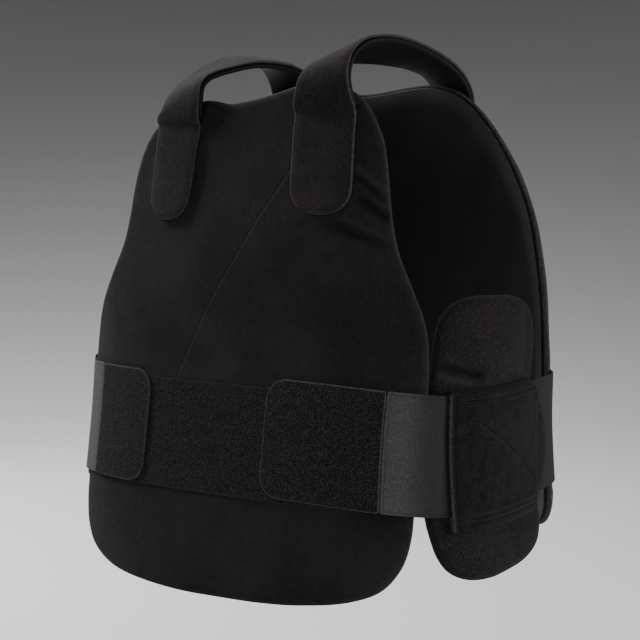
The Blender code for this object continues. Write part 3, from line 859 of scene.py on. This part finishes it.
def sleeve_cloth(name, base):
    """Smooth nap with a painted highlight on the front roll and painted shade in the valley
    behind it, double hems near the top and bottom and a sewn diagonal."""
    made, shader, place, pattern = start_material(name, 0.90, 0.03, 0.4, 0.12)
    fine, medium = noise(place, 800, 3, 0.6), noise(place, 120, 3, 0.55)
    tone = (fine * 0.5 + medium * 0.5).band(0.36, 0.64)
    colour = tint(place, tone, shade(base, 0.6), shade(base, 1.7))
    warm = shade(base, 2.2, 1.7, 2.1)
    colour = tint(place, noise(place, 22).band(0.5, 0.75) * 0.3, colour, warm)
    hair = noise(place, 430, 4, 0.8).band(0.54, 0.74) * 0.35
    colour = tint(place, hair, colour, (0.062, 0.058, 0.066, 1))
    wear_and_highlight = noise(place, 34, 3, 0.6).band(0.52, 0.72) * 0.35
    colour = tint(place, wear_and_highlight, colour, warm)
    # Painted highlight along the rolled front edge of the sleeve.
    roll, _ = line_distance(pattern, (192, 186, 198.5, 75))
    rolled = (1 - roll.band(0.0006, 0.0019)) * fine.band(0.36, 0.54) * 0.8
    colour = tint(place, rolled, colour, (0.060, 0.060, 0.064, 1))
    # Painted shade, near black, in the valley behind the rolled edge.
    valley, _ = line_distance(pattern, (196.8, 186, 203.3, 75))
    deep = (1 - valley.band(0.0003, 0.0016)) * 0.8
    colour = tint(place, deep, colour, (0.0015, 0.0015, 0.0016, 1))
    height = fine * 0.4 + medium * 0.5
    for line in SLEEVE_STITCHES:
        groove, thread = stitch_line(pattern, line)
        colour = tint(place, thread * 0.3, colour, (0.040, 0.040, 0.043, 1))
        height = height - groove * 1.3 + thread * 0.4
    join(shader, colour, height, 0.0009)
    return made


sleeve_finish = sleeve_cloth("sleeve_finish", (0.0056, 0.0054, 0.0061))

# %% Sleeves round the elastics
SLEEVE = dict(low=0.1945, long=0.0915, middle=0.1315, half=0.0575, slant=0.0035, bow=0.0360)
SLEEVE_WALL = 0.0008
WEB_MIDDLE = WEB_THICK / 2


def sleeve_loop(grow, count):
    """Height and out round the tunnel: two long flat sides joined by half turns at the ends."""
    half = SLEEVE["half"] - SLEEVE_WALL
    thick = WEB_MIDDLE + SEAM + grow
    straight = np.linspace(-1, 1, count)
    turn = np.linspace(-np.pi / 2, np.pi / 2, 7)[1:-1]
    ones, zeros = np.ones(count), np.zeros(count)
    h = np.r_[straight * half, half + thick * np.cos(turn), -straight * half,
              -half - thick * np.cos(turn)]
    out = np.r_[ones * thick, -thick * np.sin(turn), -ones * thick, thick * np.sin(turn)]
    return h, out, np.r_[ones, 0 * turn, zeros, 0 * turn]


def sleeve(label, side):
    """The loop carried along and back, thickened by its wall, with folds on the outer side."""
    share = np.r_[0, np.linspace(0, 1, 46), 1][:, None]
    rows = []
    for grow, order in ((SLEEVE_WALL, share), (0.0, share[::-1])):
        dh, out, front = sleeve_loop(grow, 52)
        away = dh / SLEEVE["half"]
        h = SLEEVE["middle"] + dh + 0 * order
        bow = SLEEVE["bow"] * np.clip(1 - away ** 2, 0, 1)
        start = SLEEVE["low"] - SLEEVE["slant"] * np.clip(away, -1, 1)
        a = start + order * (SLEEVE["long"] + bow)
        rows.append((a, h, out + sleeve_relief(a, h) * front + WEB_MIDDLE))
    a, h, out = (np.vstack([r[k] for r in rows]) for k in range(3))
    obj = skin("sleeve_" + label, carry(side, a, h, out), (a, h, out), close_rings=True)
    settle(obj, ["side_sleeve_" + label], sleeve_finish)


def sleeve_relief(a, h):
    """A rolled front edge, a valley behind it, hems, and slack folds along the diagonal."""
    away = h - SLEEVE["middle"]
    inside = np.maximum(a - (SLEEVE["low"] - SLEEVE["slant"] * away / SLEEVE["half"]), 0)
    hems = SLEEVE["half"] - np.abs(away)
    calm = np.clip(hems / 0.012, 0, 1)
    rise = 0.0016 * np.exp(-((inside - 0.0020) / 0.0018) ** 2)
    rise -= 0.0008 * np.exp(-((inside - 0.0056) / 0.0013) ** 2)
    rise += 0.0006 * np.exp(-((hems - 0.004) / 0.003) ** 2)
    rise += 0.0009 * (0.6 + 0.4 * waves(a, h, 21)) * calm
    rise += 0.0024 * np.clip((0.3015 - a) / 0.0030, 0, 1) * np.clip(inside / 0.03, 0, 1) * calm
    return creased(rise, a, h, (212, 165, 262, 128, 3.2, 1.1), (262, 128, 300, 98, 3, 1.1),
                   (207.5, 175, 208.5, 110, 3, 1), (240, 172, 285, 150, 5, 0.6),
                   (225, 100, 262, 92, 4, 0.6))


for label, side in SIDES.items():
    sleeve(label, side)

# %% [markdown]
# ## Shoulder straps
#
# A strap is a cloth outer over a padded inner, sewn to the back panel, and hooked low on the
# front. Its path could be one curve with a constant section, but it twists as it leaves the
# flat panel and rolls over the shoulder. So it is a surface through cross rows: each row gives
# the two edges of its underside, and a smooth cubic runs through them all.

# %% Strap tables
LEFT_ARCH = mm((44.5, -95.7, 430, 98, -93.5, 429), (47, -94, 438.5, 98.5, -97.7, 441.5),
               (50, -86, 445.5, 100, -95, 455), (53, -66, 451.5, 104, -83, 467.2),
               (56, -40, 455, 107.5, -56, 472.8), (59.5, -5, 457, 110, -20, 472),
               (62.5, 30, 457, 112.5, 15, 466), (65.5, 62, 454.8, 113, 49.3, 457.4),
               (67, 85, 449, 113, 73.5, 447), (67.5, 96, 438.5, 112.5, 89, 435))
RIGHT_ARCH = mm((53.5, -96.5, 424, 100.3, -89.2, 413), (53.5, -94.5, 434, 100.5, -82.5, 421.5),
                (53.7, -86.5, 441, 101.2, -69.5, 431.5), (54.2, -70, 446.2, 102.2, -50.5, 441.5),
                (55, -48, 450.4, 103.3, -28, 452.4), (55.8, -25, 454.6, 104.4, -5, 459.6),
                (56.8, -3, 457.1, 105.3, 17, 463.8), (58.2, 28, 457.8, 106.2, 40, 466),
                (59.2, 56.5, 456.3, 107.1, 60, 464.2), (59.6, 82.5, 450, 108.1, 78, 456.5),
                (60, 97.5, 438.5, 109, 91, 440))
STRAPS = {"left": dict(sign=1, arch=LEFT_ARCH, end=0.3265, off_patch=0.4130, off_panel=0.4175,
                       top=(0.0750, 0.0311), tip=(0.0762, 0.0300), back_centre=0.0970),
          "right": dict(sign=-1, arch=RIGHT_ARCH, end=0.3185, off_patch=0.4020,
                        off_panel=0.4065, top=(0.0874, 0.0262), tip=(0.0874, 0.0228),
                        back_centre=0.0905)}
BACK_HALF = 0.0265
STRAP_CORNER = 0.0250
END_POWER = 2.25
SEAT = CARRIER_OUT + SEAM
PATCH_THICK = 0.0012
PATCH_INSET = 0.0006
INNER_THICK = 0.0045
OUTER_THICK = 0.0035
ROWS = 5


# %% Cross rows and the surface through them
def on_panel(strap, centre, half, height, out, back=False):
    """One cross row of points lying on a panel."""
    across = strap["sign"] * (centre + np.linspace(-1, 1, ROWS) * half)
    return wrap(across, height, out, back)


def on_front(strap, height, out, trim=0.0):
    """One cross row on the front panel: middle and half width go from top to tip."""
    down = np.clip((strap["off_patch"] - height) / (strap["off_patch"] - strap["end"]), 0, 1)
    centre, half = np.array(strap["top"]) * (1 - down) + np.array(strap["tip"]) * down
    return on_panel(strap, centre, half - trim, height, out)


def over_shoulder(strap, rise):
    """Cross rows over the shoulder, raised at right angles to the strap."""
    arch = strap["arch"]
    inner, outer = arch[:, :3], arch[:, 3:]
    ahead = np.gradient(inner + outer, axis=0)
    up = np.cross(outer - inner, ahead)
    up = up / np.linalg.norm(up, axis=1)[:, None]
    share = np.linspace(0, 1, ROWS)[None, :, None]
    rows = inner[:, None] + share * (outer - inner)[:, None] + rise * up[:, None]
    rows[..., 2] -= SHOULDER_HEIGHT
    rows[..., 0] *= strap["sign"]
    return list(rows)


def strap_rows(strap, front_out, top_rise, full=True):
    """All cross rows of a surface: up the front panel, over the shoulder, down the back."""
    heights = np.linspace(strap["end"], strap["off_patch"], 6) if full else []
    rows = [on_front(strap, h, front_out) for h in heights]
    rows.append(on_front(strap, strap["off_panel"], SEAT + top_rise))
    rows += over_shoulder(strap, top_rise)
    tail = SEAT + top_rise - INNER_THICK - SEAM
    down = [(0.4260, SEAT + top_rise)]
    down += [(h, tail) for h in (0.4120, 0.3900, 0.3700, 0.3560)] if full else []
    rows += [on_panel(strap, strap["back_centre"], BACK_HALF, h, out, True) for h, out in down]
    return np.array(rows)


def through_rows(rows, at, lanes):
    """Smooth cubics along the rows by distance, then along each row by lane."""
    steps = np.linalg.norm(np.diff(rows[:, 2], axis=0), axis=1)
    knots = np.r_[0, np.cumsum(steps)]
    place = at * knots[-1]
    fixed = np.stack([smooth(knots, rows[:, i, c], place) for i in range(ROWS) for c in range(3)],
                     -1).reshape(len(at), ROWS, 3)
    last = ROWS - 2
    k = np.clip(((lanes + 1) * 2).astype(int), 0, last)
    t = ((lanes - np.linspace(-1, 1, ROWS)[k]) * 2)[..., None]
    row = np.arange(len(at))[:, None]
    first, second = fixed[row, k], fixed[row, k + 1]
    before, after = fixed[row, np.maximum(k - 1, 0)], fixed[row, np.minimum(k + 2, ROWS - 1)]
    one = (second - before) / np.where(k > 0, 2, 1)[..., None]
    two = (after - first) / np.where(k < last, 2, 1)[..., None]
    bend = one + two - 2 * (second - first)
    lift = 3 * (second - first) - 2 * one - two
    return first + one * t + lift * t ** 2 + bend * t ** 3


END_ROUND = 0.0014
LANES = 29


def strap_body(name, low_rows, high_rows, half, corner, relief, stations=150, rounding=0.0016):
    """A closed strap: each station is a loop of lanes with round edges, between the two
    surfaces, narrowed at a rounded end and thinned to nothing at both ends."""
    length = np.linalg.norm(np.diff(high_rows[:, 2], axis=0), axis=1).sum()
    curve = corner * (1 - np.cos(np.linspace(0, np.pi / 2, 26))) if corner else [0, 0.0007]
    run = np.unique(np.r_[curve, np.linspace(0.0015, length, stations),
                          length - END_ROUND * (1 - np.cos(np.linspace(0, np.pi / 2, 6)))])
    width = np.ones(len(run))
    if corner:
        inside = np.clip(1 - run / corner, 0, 1)
        width = (1 - inside ** END_POWER) ** (1 / END_POWER)
    ends = np.clip(np.minimum(run, length - run) / END_ROUND, 0, 1)
    thin = np.sqrt(1 - (1 - ends) ** 2)[:, None]
    flat = np.linspace(-1, 1, LANES)
    round_share = rounding / half
    turn = np.linspace(-np.pi / 2, np.pi / 2, 11)[1:-1]
    lane = np.r_[flat * (1 - round_share), 1 - round_share + round_share * np.cos(turn),
                 -flat * (1 - round_share), -1 + round_share - round_share * np.cos(turn)]
    level = np.r_[np.ones(LANES), -np.sin(turn), -np.ones(LANES), np.sin(turn)]
    lanes = lane[None] * width[:, None]
    low, high = (through_rows(rows, run / length, lanes) for rows in (low_rows, high_rows))
    edge = np.minimum(half * (width[:, None] - np.abs(lanes)), run[:, None])
    place = (lanes * half, run[:, None] + 0 * lanes, edge)
    lift = relief(*place) * np.maximum(level, 0)
    thick = np.linalg.norm(high - low, axis=-1)
    share = 0.5 + 0.5 * level[None] * thin + lift * thin / np.maximum(thick, 0.0005)
    return skin(name, low + share[..., None] * (high - low), place)


# %% Strap relief and build
def strap_relief(x, run, edge):
    """A sewn groove along the edge and one across, a soft crown, and slow waves."""
    groove = 0.0005 * np.exp(-((edge - 0.0036) / 0.0011) ** 2)
    groove = groove + 0.0012 * np.clip(1 - edge / 0.0035, 0, 1) ** 2
    across = 0.0006 * np.exp(-((run - 0.0945) / 0.0016) ** 2)
    crown = 0.0005 * (1 - np.exp(-np.maximum(edge - 0.003, 0) / 0.008))
    return crown - groove - across + 0.0003 * waves(x * 2, run, 31)


def even(x, run, edge):
    """A soft crown only."""
    return 0.0004 * (1 - np.exp(-edge / 0.006))


for label, strap in STRAPS.items():
    low = strap_rows(strap, SEAT + PATCH_THICK + SEAM, INNER_THICK + SEAM)
    high = strap_rows(strap, SEAT + PATCH_THICK + SEAM + OUTER_THICK,
                      INNER_THICK + SEAM + OUTER_THICK)
    outer = strap_body("strap_cover_" + label, low, high, strap["tip"][1], STRAP_CORNER,
                       strap_relief, rounding=0.0034)
    settle(outer, ["shoulder_strap_" + label], strap_cloth)
    low = strap_rows(strap, 0, 0.0, full=False)
    high = strap_rows(strap, 0, INNER_THICK, full=False)
    inner = strap_body("strap_inner_" + label, low, high, strap["top"][1], 0, even, 100, 0.0040)
    settle(inner, ["shoulder_lining_" + label], strap_inner)


# %% [markdown]
# ## Hook patches
#
# Under each strap end a patch of hook tape grips the panel. Only its rim can be seen, so it is
# the plain strap surface again, cut short and thin.

# %% Hook patches
def patch_rows(strap, out):
    """Cross rows of the part that lies on the front panel."""
    heights = np.linspace(strap["end"] + 0.0008, strap["off_patch"], 7)
    return np.array([on_front(strap, h, out, PATCH_INSET) for h in heights])


for label, strap in STRAPS.items():
    low, high = (patch_rows(strap, out) for out in (SEAT, SEAT + PATCH_THICK))
    patch = strap_body("hook_patch_" + label, low, high, strap["tip"][1] - PATCH_INSET,
                       STRAP_CORNER - PATCH_INSET, no_relief, 40)
    settle(patch, ["shoulder_hook_" + label], hook_pile)

# %% [markdown]
# ## Floor and light
#
# A plain pale floor that curves up far away on every side keeps a horizon line out of the
# picture, from any angle. Soft boxes stand at the left and right and high up behind, because
# dark cloth only shows its form where light grazes it, and a weak one fills from the front.

# %% Floor
def pale_finish(name, colour):
    """Plain pale paint with the faintest cloud of tone."""
    made, shader, place, pattern = start_material(name, 0.8, 0.0)
    tone = noise(place, 1.5).band(0.2, 0.8)
    mixed = tint(place, tone, shade(colour, 0.98), shade(colour, 1))
    made.node_tree.links.new(mixed.socket, shader.inputs["Base Color"])
    return made


def add_floor(level, flat, reach, rise):
    """A round floor: level to the radius flat, then a quarter-sine rise out to reach."""
    radius = np.r_[0.001, np.linspace(0.3, flat, 8), np.linspace(flat, reach, 24)[1:]]
    share = np.clip((radius - flat) / (reach - flat), 0, 1)
    height = level + rise * (1 - np.cos(share * np.pi / 2))
    turn = np.linspace(0, 2 * np.pi, 96, endpoint=False)
    x = radius[:, None] * np.cos(turn)
    y = radius[:, None] * np.sin(turn)
    place = (x, y, height[:, None] + 0 * x)
    floor = skin("floor", np.stack(place, -1), place)
    floor.data.flip_normals()
    floor.data.materials.append(pale_finish("pale_floor", (0.60, 0.60, 0.606)))


add_floor(-0.80, 2.6, 12.0, 5.0)


# %% Lights
def soft_box_light(name, at, aim, size, power, colour=(1, 1, 1)):
    """An area light that faces its aim."""
    data = bpy.data.lights.new(name, "AREA")
    data.shape = "RECTANGLE"
    data.size, data.size_y = size
    data.energy = power
    data.color = colour
    obj = bpy.data.objects.new(name, data)
    bpy.context.scene.collection.objects.link(obj)
    obj.location = at
    obj.rotation_mode = "QUATERNION"
    obj.rotation_quaternion = (Vector(at) - Vector(aim)).to_track_quat("Z", "Y")


MIDDLE = (0, 0, -0.22)
soft_box_light("key_left", (-1.9, -0.5, 1.3), MIDDLE, (0.7, 1.0), 70, (1.0, 0.97, 0.96))
soft_box_light("rim_right", (2.2, 0.4, 0.2), MIDDLE, (0.8, 1.6), 42, (1.0, 0.96, 0.97))
soft_box_light("rim_left", (-2.3, 0.7, 0.0), MIDDLE, (0.8, 1.4), 16)
soft_box_light("top", (-1.4, 1.1, 1.9), (-1.4, 1.1, -0.8), (1.4, 1.2), 92)
soft_box_light("fill", (1.1, -2.3, 0.5), MIDDLE, (1.4, 1.4), 21)
world = bpy.data.worlds.new("studio")
world.use_nodes = True
world.node_tree.nodes["Background"].inputs["Color"].default_value = (0.55, 0.56, 0.57, 1)
world.node_tree.nodes["Background"].inputs["Strength"].default_value = 0.15
bpy.context.scene.world = world
print("lights placed")

# %% [markdown]
# ## The last line

# %% Finish
print("pieces:", len(PIECES))
